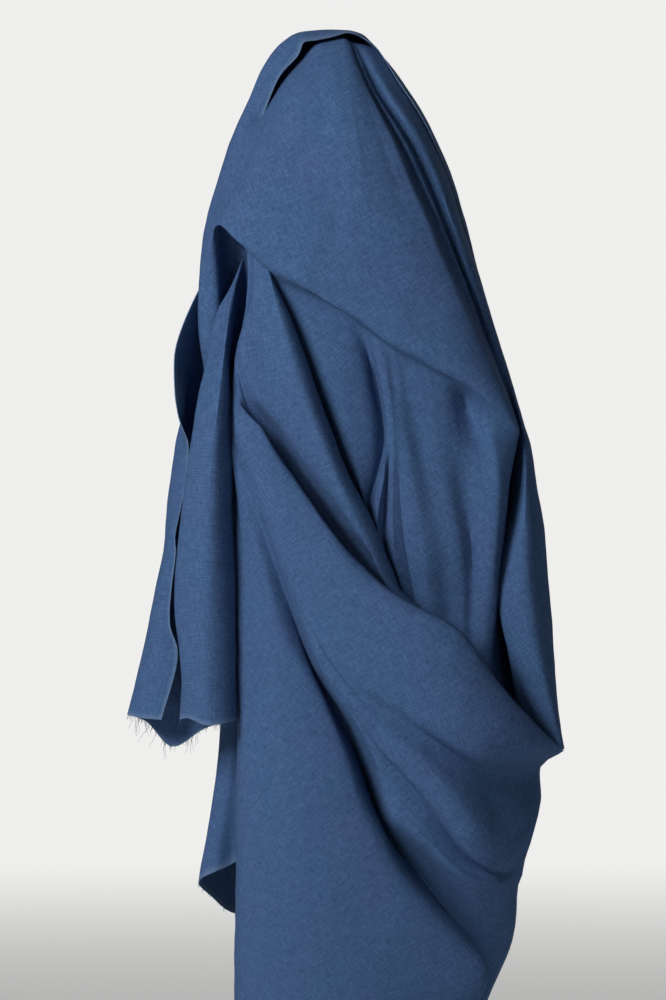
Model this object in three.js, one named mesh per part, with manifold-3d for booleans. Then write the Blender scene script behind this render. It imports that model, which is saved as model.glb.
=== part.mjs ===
// A length of washed linen hung by its middle: a hooded top with a flat front panel, a slung swag
// that crosses the front, a long front fall, and a short folded tail at the left.
// Millimetres, +Z up, the front faces -Y. The origin is the hang point, just under the top fold.
//
// The cloth is one thin sheet shaped by its folds. Each table row is one fold line, ridge or valley,
// in the order in which the folds lie side by side around the cloth. A line is a run of
// [across, drop, depth] stations: across is X, drop is how far below the hang point, depth is Y.
import * as THREE from "three";
import * as BufferGeometryUtils from "three/addons/utils/BufferGeometryUtils.js";
import Module from "manifold-3d";

const clothThickness = 2; // soft washed linen with its nap, as one solid wall
const seamTolerance = 0.2; // where the folds join, edges shorter than this are closed up
const pinchShare = 0.4; // most of the distance to the next column that half the wall may take
const linenColor = 0x3f5f8c;

// rows down the sheet and columns between two neighbouring fold lines
const hoodGrid = { upperRows: 10, lowerRows: 11, columnStep: 23, mostColumns: 2 };
const swagGrid = { rows: 24, columnStep: 20, mostColumns: 2 };
const tailGrid = { rows: 14, columnStep: 25, mostColumns: 2 };

// The hooded top, the front panel and the back, from the free edge at the right, round the back,
// along the left and across the front. upper runs to the lower crease of the front panel,
// lower goes on from there to the hem.
const hoodFolds = [
  { fold: "rim",
    upper: [[18, 1, -22], [36, 13, -20], [57, 44, -20], [97, 114, -18], [131, 214, 8], [180, 390, 28]],
    lower: [[198, 514, 34], [202, 604, 32], [190, 700, 40], [160, 844, 60]] },
  { fold: "hoodSide",
    upper: [[14, 0, -24], [22, 0, -10], [58, 40, -2], [101, 114, 2], [132, 214, 24], [172, 390, 48]],
    lower: [[188, 514, 54], [190, 604, 54], [180, 700, 60], [150, 849, 76]] },
  { fold: "backRight",
    upper: [[7, -1, -25], [8, -4, -10], [44, 22, 24], [84, 112, 48], [110, 214, 68], [134, 390, 88]],
    lower: [[146, 560, 99], [124, 859, 94]] },
  { fold: "backValley",
    upper: [[-1, 1, -26], [0, -4, -10], [30, 14, 34], [62, 110, 60], [84, 214, 76], [98, 390, 86]],
    lower: [[104, 560, 90], [86, 869, 90]] },
  { fold: "backMid",
    upper: [[-9, 3, -27], [-8, -4, -10], [14, 8, 42], [34, 108, 80], [48, 214, 98], [56, 390, 112]],
    lower: [[58, 560, 116], [46, 879, 112]] },
  { fold: "backHollow",
    upper: [[-24, 6, -27], [-25, -3, -12], [-16, 6, 40], [-4, 106, 78], [-2, 214, 90], [1, 360, 95]],
    lower: [[4, 560, 98], [0, 884, 98]] },
  { fold: "backLeft",
    upper: [[-36, 8, -27], [-43, 0, -14], [-46, 8, 28], [-46, 104, 72], [-50, 200, 96], [-48, 320, 106]],
    lower: [[-40, 560, 112], [-44, 884, 106]] },
  { fold: "leftBack",
    upper: [[-41, 20, -27], [-60, 12, -16], [-71, 30, 10], [-90, 110, 44], [-103, 190, 66],
      [-107, 270, 74]],
    lower: [[-105, 520, 84], [-102, 886, 70]] },
  { fold: "leftSide",
    upper: [[-60, 42, -26], [-75, 36, -14], [-88, 58, 0], [-107, 104, 12], [-126, 185, 26],
      [-129, 230, 32]],
    lower: [[-124, 400, 62], [-118, 600, 60], [-128, 865, 26]] },
  { fold: "roll",
    upper: [[-78, 85, -22], [-93, 87, -20], [-109, 118, -18], [-129, 170, -14], [-137, 204, -10]],
    lower: [[-141, 262, -4], [-136, 330, 8], [-120, 430, 46], [-114, 560, 46], [-116, 690, 34],
      [-141, 846, 0]] },
  { fold: "rollFront",
    upper: [[-77, 80, -22], [-84, 100, -34], [-102, 140, -42], [-119, 176, -48], [-128, 198, -44]],
    lower: [[-124, 240, -22], [-122, 310, -4], [-110, 430, 38], [-108, 690, 22], [-126, 836, -12]] },
  { fold: "arch",
    upper: [[-74, 68, -10], [-70, 76, -30], [-76, 100, -44], [-88, 134, -60], [-107, 172, -68],
      [-119, 190, -62]],
    lower: [[-116, 184, -34], [-112, 202, -4], [-102, 300, 26], [-98, 500, 30], [-98, 690, 18],
      [-108, 828, -5]] },
  { fold: "archRight",
    upper: [[-60, 46, -4], [-54, 50, -30], [-56, 74, -48], [-64, 124, -70], [-83, 178, -82],
      [-100, 206, -78]],
    lower: [[-95, 193, -44], [-88, 212, -16], [-76, 320, 6], [-72, 690, 0], [-75, 804, -10]] },
  { fold: "crease",
    upper: [[-42, 22, 0], [-36, 28, -26], [-38, 56, -54], [-38, 119, -76], [-54, 188, -92],
      [-76, 226, -86]],
    lower: [[-71, 238, -70], [-56, 271, -62], [-40, 313, -56], [-22, 364, -52], [1, 426, -50],
      [29, 483, -50], [60, 560, -50], [100, 650, -40]] },
  { fold: "panel",
    upper: [[-24, 8, 0], [-21, 12, -23], [-22, 49, -54], [-15, 119, -82], [-24, 198, -98],
      [-44, 244, -98]],
    lower: [[-40, 255, -83], [-21, 314, -78], [0, 378, -74], [16, 430, -70], [28, 476, -62],
      [48, 530, -52], [102, 652, -40]] },
  { fold: "planeB",
    upper: [[-17, 6, -1], [-14, 9, -22], [-14, 46, -55], [-5, 119, -84], [-6, 222, -100],
      [-14, 264, -101]],
    lower: [[0, 272, -86], [17, 316, -77], [28, 366, -72], [31, 420, -67], [25, 466, -62],
      [34, 506, -54], [52, 556, -46], [103, 654, -38]] },
  { fold: "pleatA",
    upper: [[-10, 5, -2], [-7, 7, -21.2], [-5, 44, -56], [7, 119, -86], [14, 236, -102],
      [20, 284, -102]],
    lower: [[25, 294, -84], [31, 324, -66], [39, 362, -58], [44, 402, -56], [38, 434, -58],
      [29, 468, -56], [33, 498, -48], [46, 530, -44], [62, 574, -42], [104, 656, -36]] },
  { fold: "foldB",
    upper: [[-8, 5, -2], [-5, 6.7, -21.1], [-2, 44, -56.1], [10, 119, -86], [19, 239, -102],
      [27, 290, -102]],
    lower: [[31, 298, -90], [36, 326, -85], [43, 362, -84], [47, 402, -81], [44, 436, -76],
      [38, 470, -76], [38, 498, -70], [47, 528, -60], [63, 574, -48], [104, 657, -37]] },
  { fold: "valleyB",
    upper: [[-7, 4, -2], [-3.4, 6.4, -21], [0.5, 44, -56.1], [13, 119, -86], [24, 241, -102],
      [32, 294, -102]],
    lower: [[36, 302, -91], [40, 328, -87], [45, 364, -85], [49, 404, -82], [47, 436, -70],
      [45, 470, -64], [44, 505, -58], [50, 538, -50], [65, 580, -44], [105, 658, -37]] },
  { fold: "ridgeB",
    upper: [[-5, 4, -2], [-1.8, 6.1, -20.9], [3, 44, -56], [16, 119, -86], [30, 244, -102],
      [40, 300, -102]],
    lower: [[43, 307, -90], [46, 332, -87], [50, 366, -86], [53, 404, -84], [53, 436, -80],
      [52, 470, -76], [53, 505, -72], [59, 540, -62], [71, 584, -50], [106, 659, -37]] },
  { fold: "valleyD",
    upper: [[-4, 4, -2], [-0.2, 5.8, -20.7], [5.4, 43.8, -55.8], [19, 119, -86], [35, 246, -102],
      [46, 304, -102]],
    lower: [[48, 311, -89], [51, 336, -84], [54, 368, -84], [57, 404, -83], [58, 436, -78],
      [60, 470, -73], [64, 505, -66], [71, 542, -56], [79, 590, -46], [107, 660, -37]] },
  { fold: "ridgeD",
    upper: [[-3, 4, -2], [1.2, 5.6, -20.5], [7.8, 43.6, -55.5], [22, 119, -85], [41, 248, -102],
      [53, 308, -102]],
    lower: [[54, 316, -88], [57, 340, -84], [61, 372, -83], [65, 406, -83], [69, 440, -82],
      [74, 474, -80], [79, 508, -76], [86, 546, -68], [93, 594, -52], [110, 661, -37]] },
  { fold: "pleatB",
    upper: [[-2, 4, -2], [2.4, 5.4, -20.3], [10, 43.5, -55], [26, 119, -84], [49, 251, -102],
      [63, 313, -102]],
    lower: [[63, 322, -86], [66, 346, -81], [71, 378, -78], [78, 412, -76], [87, 446, -74],
      [95, 482, -71], [101, 512, -67], [105, 548, -59], [109, 596, -46], [114, 662, -34]] },
  { fold: "ridgeF",
    upper: [[-1, 4, -2], [3.6, 5.3, -20], [12.4, 43.4, -54.3], [30, 119, -83], [61, 255, -101],
      [78, 320, -101]],
    lower: [[80, 330, -86], [84, 352, -80], [90, 382, -78], [98, 414, -76], [106, 450, -74],
      [114, 486, -70], [119, 516, -66], [121, 552, -58], [121, 600, -48], [120, 663, -36]] },
  { fold: "softB",
    upper: [[1, 4, -2], [5, 5.4, -19.6], [15.2, 43.4, -53.2], [37, 119, -81], [78, 260, -99],
      [98, 332, -99]],
    lower: [[102, 342, -82], [107, 370, -74], [115, 410, -70], [123, 450, -63], [128, 490, -58],
      [131, 530, -54], [129, 600, -46], [126, 664, -37]] },
  { fold: "hollowB",
    upper: [[3, 4, -2], [6.6, 5.7, -18.9], [18, 43.8, -51.8], [44, 119, -78], [94, 262, -95],
      [120, 342, -95]],
    lower: [[122, 356, -62], [128, 384, -56], [136, 420, -66], [142, 470, -68], [145, 520, -64],
      [142, 600, -50], [133, 664, -36]] },
  { fold: "sideB",
    upper: [[4, 4, -2], [8, 6.2, -18], [20.6, 44.6, -50.2], [51, 119, -76], [108, 260, -89],
      [150, 362, -84]],
    lower: [[149, 384, -72], [152, 410, -72], [156, 440, -72], [156, 480, -70], [154, 520, -64],
      [150, 580, -52], [139, 664, -37]] },
  { fold: "ridgeRight",
    upper: [[5, 5, -2], [9, 7, -17], [23, 46, -48], [58, 119, -72], [116, 254, -80], [176, 391, -62]],
    lower: [[175, 401, -56], [169, 428, -58], [164, 469, -58], [160, 507, -54], [154, 572, -48],
      [144, 664, -36]] },
  { fold: "dipRight",
    upper: [[6, 6, -1], [11, 8, -16], [27, 50, -38], [63, 118, -50], [112, 228, -52], [176, 390, -44]],
    lower: [[175, 402, -42], [169, 440, -40], [164, 500, -34], [158, 560, -26], [150, 668, -26]] },
  { fold: "ridgeLow",
    upper: [[7, 6, 0], [13, 9, -15], [31, 52, -40], [69, 118, -54], [113, 220, -52], [175, 389, -34]],
    lower: [[175, 402, -28], [169, 444, -24], [164, 500, -18], [160, 560, -10], [162, 674, -14]] },
  { fold: "gapRight",
    upper: [[9, 7, 0], [15, 10, -15], [38, 58, -32], [74, 118, -38], [112, 212, -40], [173, 388, -22]],
    lower: [[175, 402, -10], [168, 460, -2], [163, 560, 8], [166, 630, 10], [180, 690, -6]] },
  { fold: "stripLeft",
    upper: [[14, 8, 2], [22, 11, -13], [44, 54, -37], [81, 116, -48], [119, 212, -50], [177, 390, -26]],
    lower: [[179, 412, -26], [177, 444, -30], [172, 474, -34], [162, 512, -38], [157, 554, -42],
      [168, 604, -48], [190, 660, -52], [219, 710, -46]] },
  { fold: "stripMid",
    upper: [[19, 8, 4], [31, 13, -10], [54, 54, -28], [91, 117, -34], [127, 214, -36], [181, 391, -36]],
    lower: [[184, 412, -44], [184, 460, -52], [183, 510, -58], [186, 560, -62], [194, 610, -62],
      [208, 664, -58], [221, 711, -46]] },
  { fold: "sideRight",
    upper: [[24, 9, 6], [38, 16, -6], [64, 56, -14], [98, 120, -12], [129, 215, -6], [184, 391, -4]],
    lower: [[191, 420, -4], [200, 470, -6], [205, 510, -8], [210, 560, -10], [212, 610, -14],
      [216, 664, -24], [223, 710, -44]] },
  { fold: "sideBack",
    upper: [[20, 18, 10], [32, 30, 8], [50, 64, 12], [84, 124, 20], [116, 220, 28], [170, 394, 34]],
    lower: [[178, 424, 34], [190, 510, 32], [194, 560, 30], [196, 610, 22], [206, 668, -2],
      [218, 707, -30]] },
  { fold: "sideEnd",
    upper: [[14, 26, 14], [22, 38, 20], [36, 70, 32], [60, 130, 44], [84, 224, 56], [124, 396, 72]],
    lower: [[128, 430, 76], [136, 520, 80], [138, 610, 72], [150, 660, 48], [160, 700, 20]] },
];

// The slung swag and the long front fall, from the pleat beside the panel to the fall's left edge.
const swagFolds = [
  { fold: "tuck",
    run: [[-78, 212, -48], [-56, 271, -56], [-40, 313, -50], [-22, 364, -46], [1, 426, -44],
      [29, 483, -40], [60, 560, -36], [100, 648, -26]] },
  { fold: "edgeK",
    run: [[-76, 212, -64], [-71, 234, -76], [-54, 271, -86], [-38, 313, -86], [-20, 364, -85],
      [3, 426, -84], [31, 483, -80], [60, 556, -70], [100, 646, -50]] },
  { fold: "ridgeK",
    run: [[-78, 208, -66], [-64, 262, -94], [-47, 322, -101], [-24, 388, -104], [5, 458, -102],
      [38, 530, -88], [85, 624, -60]] },
  { fold: "slopeK",
    run: [[-82, 204, -58], [-76, 262, -74], [-68, 330, -86], [-48, 376, -93], [-22, 424, -97],
      [5, 474, -96], [34, 520, -87], [66, 562, -74], [106, 610, -54]] },
  { fold: "ridgeL",
    run: [[-84, 202, -54], [-85, 262, -70], [-94, 314, -78], [-84, 350, -83], [-65, 379, -85],
      [-42, 412, -85], [-15, 453, -84], [10, 490, -81], [35, 522, -77], [66, 558, -70], [108, 602, -55]] },
  { fold: "hollowC",
    run: [[-85, 199, -50], [-87, 262, -56], [-101, 320, -68], [-92, 356, -72], [-71, 388, -62],
      [-49, 422, -56], [-24, 459, -54], [2, 495, -56], [27, 526, -61], [63, 561, -66], [111, 600, -54],
      [136, 634, -46]] },
  { fold: "valleyC",
    run: [[-86, 196, -48], [-88, 262, -50], [-103, 326, -64], [-97, 364, -72], [-77, 398, -62],
      [-55, 436, -56], [-31, 470, -58], [-7, 502, -62], [18, 530, -64], [60, 566, -66],
      [113, 596, -56], [148, 642, -42], [204, 706, -30]] },
  { fold: "lipC",
    run: [[-87, 194, -46], [-89, 262, -47], [-103, 335, -54], [-99, 368, -76], [-76, 393, -83],
      [-53, 430, -92], [-29, 464, -100], [-5, 496, -106], [20, 524, -110], [62, 559, -112],
      [115, 587, -108], [150, 636, -86], [212, 706, -46]] },
  { fold: "ridgeC",
    run: [[-86, 193, -45], [-87, 262, -47], [-102, 340, -60], [-100, 372, -74], [-77, 394, -88],
      [-54, 440, -98], [-30, 470, -106], [-7, 500, -114], [16, 530, -120], [60, 560, -126],
      [114, 590, -122], [148, 632, -106], [186, 678, -84], [220, 710, -48]] },
  { fold: "midC",
    run: [[-87, 192, -44], [-89, 262, -47], [-103, 343, -62], [-101, 396, -80], [-72, 455, -98],
      [-42, 505, -110], [-10, 548, -120], [36, 590, -130], [86, 626, -134], [128, 660, -128],
      [170, 694, -106], [221, 711, -46]] },
  { fold: "lowC",
    run: [[-87, 192, -44], [-89, 262, -46], [-104, 344, -62], [-98, 408, -82], [-80, 445, -93],
      [-57, 500, -105], [-37, 556, -113], [-14, 600, -119], [20, 636, -125], [52, 658, -128],
      [82, 678, -130], [104, 694, -128], [124, 706, -122], [140, 713, -114], [162, 713, -98],
      [198, 714, -64], [222, 712, -45]] },
  { fold: "valleyG",
    run: [[-88, 192, -43], [-89, 262, -46], [-104.1, 344.5, -61.5], [-98.5, 409, -81.3],
      [-80.8, 447, -92.1], [-57.6, 503, -104.7], [-37.4, 559.5, -112.6], [-15, 608, -114],
      [16, 645, -117], [48, 668, -118], [80, 688, -114], [104, 704, -106], [128, 722, -92],
      [150, 734, -70], [172, 738, -44], [200, 730, -8]] },
  { fold: "ridgeG",
    run: [[-88, 191, -42], [-89, 262, -46], [-104.3, 345, -61], [-99, 410, -80.4], [-81.5, 449, -90.9],
      [-58.3, 505.5, -103.8], [-37.8, 563, -111.2], [-18, 613, -113], [11, 653, -117], [36, 682, -120],
      [64, 706, -122], [92, 732, -120], [116, 762, -114], [138, 790, -102], [162, 800, -76],
      [186, 790, -42], [200, 765, -6]] },
  { fold: "edgeG",
    run: [[-88, 191, -42], [-89, 262, -45], [-104.4, 345.5, -60.5], [-99.5, 411, -79.2],
      [-82.3, 451, -89.4], [-59.1, 508, -102.1], [-38.3, 566.5, -108.5], [-20, 617, -111],
      [5, 656, -112], [27, 684, -113], [40, 706, -113], [62, 730, -112], [84, 754, -110],
      [104, 778, -106], [124, 806, -98], [146, 824, -84], [168, 826, -56], [189, 806, -22]] },
  { fold: "valleyH",
    run: [[-89, 191, -41], [-89, 262, -45], [-104.5, 346, -60], [-100, 412.5, -77.9],
      [-83, 453.5, -87.7], [-60, 511, -99.6], [-39, 570, -104.5], [-21, 620, -107], [3, 659, -105],
      [24, 688, -103], [42, 712, -101], [62, 733, -98], [82, 756, -94], [102, 785, -88],
      [122, 812, -82], [144, 829, -72], [168, 833, -48], [184, 822, -22]] },
  { fold: "ridgeH",
    run: [[-89, 190, -41], [-90, 262, -45], [-104.6, 346.5, -59.4], [-100.5, 413.6, -76.6],
      [-83.8, 455.6, -85.9], [-61, 514, -96.1], [-39.8, 573.5, -99.1], [-21, 622, -103],
      [2, 661, -101], [21, 690, -100], [36, 721, -99], [50, 750, -99], [66, 778, -99], [90, 800, -98],
      [112, 822, -95], [134, 837, -86], [158, 842, -66], [182, 838, -22]] },
  { fold: "lowH",
    run: [[-90, 190, -40], [-90, 262, -45], [-104.8, 347, -58.7], [-101, 414.8, -75.1],
      [-84.5, 457.8, -84.1], [-62, 516.5, -91.7], [-41, 577, -92.3], [-21, 622, -98], [2, 660, -95],
      [20, 687, -92], [32, 714, -90], [40, 744, -90], [49, 770, -91], [64, 787, -91], [85, 805, -90],
      [108, 828, -87], [134, 846, -76], [160, 849, -56], [178, 848, -22]] },
  { fold: "underH",
    run: [[-90, 190, -40], [-90, 262, -44], [-104.9, 347.5, -57.9], [-101.5, 416, -73.6],
      [-85.3, 460, -82.1], [-63, 519, -86.4], [-42.4, 580.5, -83.9], [-23, 625, -86], [-1, 664, -78],
      [16, 692, -72], [28, 720, -68], [38, 752, -65], [48, 780, -64], [66, 802, -62], [90, 828, -58],
      [116, 860, -48], [142, 888, -34], [163, 902, -14], [173, 905, 6]] },
  { fold: "valleyE",
    run: [[-90, 189, -39], [-90, 262, -44], [-105, 348, -57], [-102, 417, -72], [-86, 462, -80],
      [-64, 522, -80], [-44, 584, -74], [-28, 630, -66], [-5, 668, -56], [10, 698, -48],
      [22, 730, -42], [32, 768, -38], [50, 800, -36], [76, 832, -34], [104, 868, -28], [130, 900, -18],
      [149, 926, -4], [161, 936, 7]] },
  { fold: "ridgeE",
    run: [[-91, 189, -38], [-91, 262, -43], [-105, 348, -56], [-103, 424, -71], [-94, 472, -79],
      [-76, 532, -83], [-58, 594, -87], [-33, 636, -88], [-10, 680, -90], [6, 722, -92],
      [21, 764, -92], [42, 806, -91], [66, 842, -88], [96, 876, -80], [124, 906, -68], [146, 934, -54],
      [136, 968, -46], [108, 1030, -38]] },
  { fold: "eastE",
    run: [[-91, 189, -37], [-91, 262, -42], [-106, 349, -55], [-105, 440, -68], [-84, 560, -77],
      [-58, 670, -88], [-22, 780, -96], [16, 870, -97], [42, 960, -90], [56, 1040, -82]] },
  { fold: "midE",
    run: [[-91, 188, -36], [-91, 262, -42], [-106, 350, -54], [-103, 450, -64], [-90, 584, -72],
      [-72, 704, -84], [-50, 814, -94], [-32, 914, -94], [-22, 1048, -88]] },
  { fold: "westE",
    run: [[-92, 188, -34], [-92, 262, -41], [-106, 350, -52], [-104, 450, -58], [-100, 584, -62],
      [-95, 704, -70], [-90, 814, -76], [-86, 914, -74], [-84, 1054, -68]] },
  { fold: "leftE",
    run: [[-92, 188, -32], [-92, 262, -38], [-106, 350, -46], [-106, 450, -48], [-105, 584, -50],
      [-102, 704, -46], [-103, 814, -42], [-104, 914, -36], [-105, 1052, -28]] },
  { fold: "backE",
    run: [[-90, 190, -26], [-88, 262, -28], [-101, 350, -30], [-100, 450, -30], [-99, 584, -30],
      [-95, 704, -24], [-96, 814, -10], [-97, 914, 0], [-98, 1050, 8]] },
];

// The short tail at the left, from its selvedge round the back to its folded front strip.
const tailFolds = [
  { fold: "selvedge",
    run: [[-124, 226, 26], [-144, 260, 6], [-157, 290, -6], [-164, 318, -12], [-163, 368, -18],
      [-158, 390, -28], [-151, 408, -40], [-154, 452, -46], [-164, 498, -46], [-163, 514, -46],
      [-169, 584, -50], [-161, 614, -50], [-177, 681, -50]] },
  { fold: "nearEdge",
    run: [[-122, 228, 32], [-135, 264, 22], [-149, 309, 12], [-153, 349, 4], [-155, 389, -12],
      [-159, 424, -32], [-164, 474, -40], [-172, 519, -40], [-180, 589, -42], [-182, 634, -44],
      [-195, 680, -42]] },
  { fold: "outline",
    run: [[-118, 230, 40], [-130, 270, 36], [-144, 330, 26], [-160, 389, 8], [-168, 429, -4],
      [-176, 509, -12], [-185, 563, -14], [-194, 604, -16], [-212, 678, -18]] },
  { fold: "behindLeft",
    run: [[-112, 300, 56], [-138, 384, 38], [-154, 464, 18], [-166, 564, 8], [-180, 634, 4],
      [-194, 686, 2]] },
  { fold: "behind",
    run: [[-118, 384, 50], [-126, 414, 30], [-136, 484, 14], [-146, 584, 4], [-156, 654, 0],
      [-168, 711, 0]] },
  { fold: "behindRight",
    run: [[-100, 384, 44], [-106, 414, 10], [-116, 488, -10], [-120, 584, -16], [-126, 654, -18],
      [-136, 692, -16]] },
  { fold: "ridgeRight",
    run: [[-96, 222, -12], [-103, 262, -24], [-107, 300, -33], [-108, 346, -40], [-104, 383, -42],
      [-105, 450, -46], [-105, 509, -52], [-103, 600, -58], [-104, 681, -60]] },
  { fold: "innerRight",
    run: [[-97, 223, -12], [-105, 264, -32], [-109, 302, -50], [-111, 364, -66], [-112, 434, -76],
      [-112, 509, -78], [-113, 564, -82], [-113, 682, -84]] },
  { fold: "ridgeTail",
    run: [[-98, 224, -12], [-108, 266, -38], [-113, 304, -62], [-117, 340, -78], [-122, 384, -89],
      [-126, 434, -95], [-128, 504, -95], [-131, 584, -93], [-131, 684, -91]] },
  { fold: "slopeLeft",
    run: [[-99, 226, -10], [-109, 262, -28], [-119, 300, -46], [-128, 340, -62], [-141, 396, -72],
      [-150, 460, -74], [-155, 528, -74], [-157, 610, -72], [-151, 678, -70]] },
  { fold: "turnLeft",
    run: [[-100, 228, -8], [-111, 256, -16], [-121, 274, -24], [-126, 292, -32], [-133, 328, -44],
      [-142, 372, -52], [-152, 433, -56], [-160, 502, -58], [-164, 570, -58], [-157, 625, -58],
      [-159, 680, -58]] },
  { fold: "innerLeft",
    run: [[-99, 230, -4], [-109, 264, -4], [-121, 306, -14], [-132, 370, -26], [-144, 450, -34],
      [-152, 530, -38], [-155, 634, -40], [-157, 680, -40]] },
];

// Hermite curve through stations, with knots spaced by the root of their distance so that
// close stations make a tight fold and far ones a slack one.
function knotTimes(points, least) {
  const times = [0];
  for (let i = 1; i < points.length; i++) {
    const gap = Math.max(points[i].distanceTo(points[i - 1]), least);
    times.push(times[i - 1] + Math.sqrt(gap));
  }
  return times;
}

function knotSlopes(points, times) {
  const last = points.length - 1;
  const slope = (i) =>
    points[i + 1].clone().sub(points[i]).divideScalar(times[i + 1] - times[i]);
  return points.map((point, i) => {
    if (i === 0) return slope(0);
    if (i === last) return slope(last - 1);
    const weight = (times[i] - times[i - 1]) / (times[i + 1] - times[i - 1]);
    return slope(i - 1).multiplyScalar(1 - weight).add(slope(i).multiplyScalar(weight));
  });
}

function hermite(a, slopeA, b, slopeB, span, u) {
  const u2 = u * u;
  const u3 = u2 * u;
  return a.clone().multiplyScalar(2 * u3 - 3 * u2 + 1)
    .add(slopeA.clone().multiplyScalar((u3 - 2 * u2 + u) * span))
    .add(b.clone().multiplyScalar(3 * u2 - 2 * u3))
    .add(slopeB.clone().multiplyScalar((u3 - u2) * span));
}

class FoldLine {
  constructor(stations) {
    this.points = stations.map(([across, drop, depth]) => new THREE.Vector3(across, depth, -drop));
    this.times = knotTimes(this.points, 0.3);
    this.slopes = knotSlopes(this.points, this.times);
  }

  at(time) {
    const last = this.points.length - 2;
    let k = 0;
    while (k < last && time >= this.times[k + 1]) k += 1;
    const span = this.times[k + 1] - this.times[k];
    return hermite(this.points[k], this.slopes[k], this.points[k + 1], this.slopes[k + 1], span,
      (time - this.times[k]) / span);
  }

  // rows + 1 points at equal steps of length between two stations
  evenly(first, last, rows) {
    const fine = 200;
    const from = this.times[first];
    const to = this.times[last];
    const lengths = [0];
    let before = this.at(from);
    for (let i = 1; i <= fine; i++) {
      const next = this.at(from + ((to - from) * i) / fine);
      lengths.push(lengths[i - 1] + next.distanceTo(before));
      before = next;
    }
    const points = [];
    let k = 0;
    for (let row = 0; row <= rows; row++) {
      const wanted = (lengths[fine] * row) / rows;
      while (k < fine - 1 && lengths[k + 1] < wanted) k += 1;
      const part = (wanted - lengths[k]) / (lengths[k + 1] - lengths[k]);
      points.push(this.at(from + ((to - from) * (k + Math.min(part, 1))) / fine));
    }
    return points;
  }
}

// points[row][line] of a sheet, before the columns between the lines are added
function foldRows(folds, grid) {
  const columns = folds.map(({ upper, lower, run }) => {
    if (run) return new FoldLine(run).evenly(0, run.length - 1, grid.rows);
    const line = new FoldLine([...upper, ...lower]);
    const ridge = upper.length - 1;
    const above = line.evenly(0, ridge, grid.upperRows);
    const below = line.evenly(ridge, line.points.length - 1, grid.lowerRows);
    return [...above, ...below.slice(1)];
  });
  return columns[0].map((_, row) => columns.map((column) => column[row]));
}

function columnCounts(rows, grid) {
  return rows[0].slice(1).map((_, i) => {
    const mean = rows.reduce((sum, row) => sum + row[i].distanceTo(row[i + 1]), 0) / rows.length;
    return Math.min(Math.max(Math.round(mean / grid.columnStep), 1), grid.mostColumns);
  });
}

function sheetPoints(folds, grid) {
  const rows = foldRows(folds, grid);
  const counts = columnCounts(rows, grid);
  return rows.map((points) => {
    const times = knotTimes(points, 0.3);
    const slopes = knotSlopes(points, times);
    const full = [];
    counts.forEach((count, i) => {
      for (let k = 0; k < count; k++) {
        full.push(hermite(points[i], slopes[i], points[i + 1], slopes[i + 1],
          times[i + 1] - times[i], k / count));
      }
    });
    full.push(points[points.length - 1]);
    return full;
  });
}

// the two faces of the sheet, half a thickness to either side, and the strip round its edge
function sheetGeometry(folds, grid) {
  const points = sheetPoints(folds, grid);
  const rowCount = points.length;
  const columnCount = points[0].length;
  const clamp = (value, most) => Math.min(Math.max(value, 0), most);
  const at = (row, column) => points[clamp(row, rowCount - 1)][clamp(column, columnCount - 1)];
  const front = [];
  const back = [];
  for (let row = 0; row < rowCount; row++) {
    for (let column = 0; column < columnCount; column++) {
      const acrossSheet = at(row, column + 1).clone().sub(at(row, column - 1));
      const downSheet = at(row + 1, column).clone().sub(at(row - 1, column));
      const normal = acrossSheet.clone().cross(downSheet).normalize();
      const room = Math.min(at(row, column).distanceTo(at(row, clamp(column + 1, columnCount - 1))) || 99,
        at(row, column).distanceTo(at(row, clamp(column - 1, columnCount - 1))) || 99);
      const half = Math.min(clothThickness / 2, room * pinchShare);
      front.push(at(row, column).clone().addScaledVector(normal, half));
      back.push(at(row, column).clone().addScaledVector(normal, -half));
    }
  }
  const index = [];
  const offset = front.length;
  const id = (row, column) => row * columnCount + column;
  const quad = (a, b, c, d) => index.push(a, b, c, a, c, d);
  for (let row = 0; row < rowCount - 1; row++) {
    for (let column = 0; column < columnCount - 1; column++) {
      const [a, b] = [id(row, column), id(row, column + 1)];
      const [c, d] = [id(row + 1, column + 1), id(row + 1, column)];
      quad(a, b, c, d);
      quad(offset + d, offset + c, offset + b, offset + a);
    }
  }
  const edge = (a, b) => quad(b, a, offset + a, offset + b);
  for (let column = 0; column < columnCount - 1; column++) {
    edge(id(0, column), id(0, column + 1));
    edge(id(rowCount - 1, column + 1), id(rowCount - 1, column));
  }
  for (let row = 0; row < rowCount - 1; row++) {
    edge(id(row, columnCount - 1), id(row + 1, columnCount - 1));
    edge(id(row + 1, 0), id(row, 0));
  }
  const geometry = new THREE.BufferGeometry();
  const vertices = [...front, ...back].flatMap((point) => point.toArray());
  geometry.setAttribute("position", new THREE.Float32BufferAttribute(vertices, 3));
  geometry.setIndex(index);
  return geometry;
}

const wasm = await Module();
wasm.setup();

function toSolid(geometry) {
  return new wasm.Manifold(new wasm.Mesh({
    numProp: 3,
    vertProperties: geometry.attributes.position.array,
    triVerts: new Uint32Array(geometry.index.array),
  }));
}

function fromSolid(solid) {
  const mesh = solid.getMesh();
  const geometry = new THREE.BufferGeometry();
  geometry.setAttribute("position", new THREE.BufferAttribute(mesh.vertProperties, 3));
  geometry.setIndex(new THREE.BufferAttribute(mesh.triVerts, 1));
  return BufferGeometryUtils.toCreasedNormals(geometry, 0.8);
}

const parts = [
  sheetGeometry(hoodFolds, hoodGrid),
  sheetGeometry(swagFolds, swagGrid),
  sheetGeometry(tailFolds, tailGrid),
].map(toSolid);
const joined = parts[0].add(parts[1]).add(parts[2]);
// where the folds pinch together the join can leave a speck, so only the cloth itself is kept
const [cloth] = joined.simplify(seamTolerance).decompose().sort((a, b) => b.volume() - a.volume());

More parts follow.
